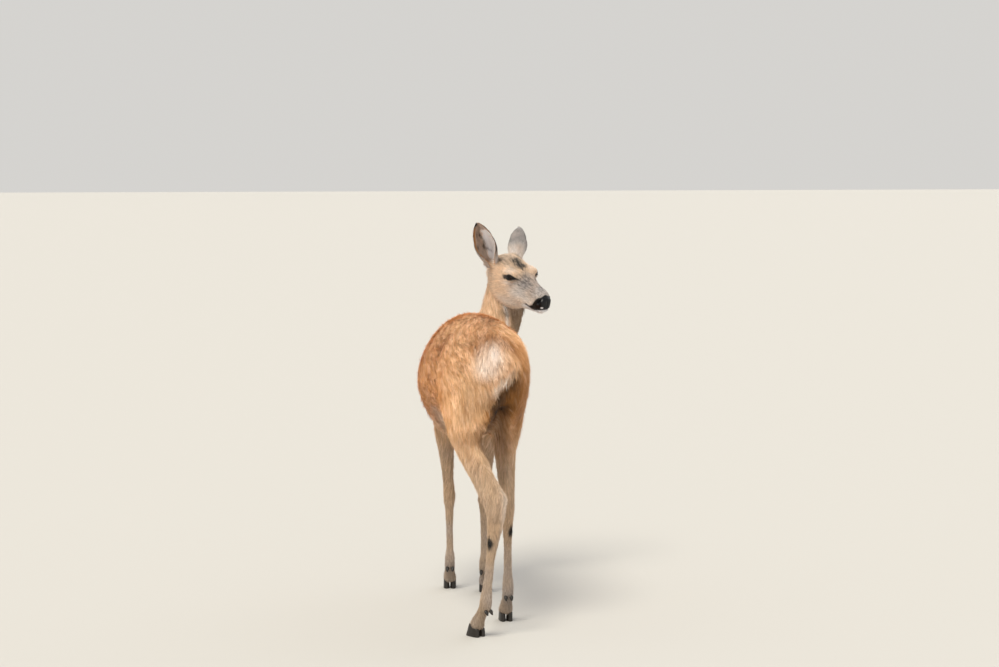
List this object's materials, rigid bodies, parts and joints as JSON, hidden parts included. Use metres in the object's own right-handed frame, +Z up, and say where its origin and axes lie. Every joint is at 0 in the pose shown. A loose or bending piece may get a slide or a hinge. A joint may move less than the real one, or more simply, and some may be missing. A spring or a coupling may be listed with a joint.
{
  "type": "roe deer",
  "caption": "Roe deer doe in a red summer coat, standing still on four legs and looking back over her right side, as a life-size model.",
  "frame": {"origin": "on the floor, under the middle of the bounding box", "axes": "+Z up, -Y the way the body faces, +X to the animal's left"},
  "size_m": [0.3322, 0.7656, 0.8895],
  "materials": {
    "coat": "short, flat-lying red-brown summer hair",
    "pale_hair": "longer buff hair of the rump",
    "horn": "black keratin, satin",
    "eye": "wet, very dark brown"
  },
  "bodies": {
    "root": {"dewclaw_front_left_left": "horn", "dewclaw_front_left_right": "horn", "dewclaw_front_right_left": "horn", "dewclaw_front_right_right": "horn", "dewclaw_hind_left_left": "horn", "dewclaw_hind_left_right": "horn", "dewclaw_hind_right_left": "horn", "dewclaw_hind_right_right": "horn", "ear_left": "coat", "ear_right": "coat", "eye_left": "eye", "eye_right": "eye", "head": "coat", "hoof_front_left_left": "horn", "hoof_front_left_right": "horn", "hoof_front_right_left": "horn", "hoof_front_right_right": "horn", "hoof_hind_left_left": "horn", "hoof_hind_left_right": "horn", "hoof_hind_right_left": "horn", "hoof_hind_right_right": "horn", "leg_front_left_lower": "coat", "leg_front_left_upper": "coat", "leg_front_right_lower": "coat", "leg_front_right_upper": "coat", "leg_hind_left_lower": "coat", "leg_hind_left_upper": "coat", "leg_hind_right_lower": "coat", "leg_hind_right_upper": "coat", "neck": "coat", "tail": "pale_hair", "trunk": "coat"}
  },
  "joints": []
}
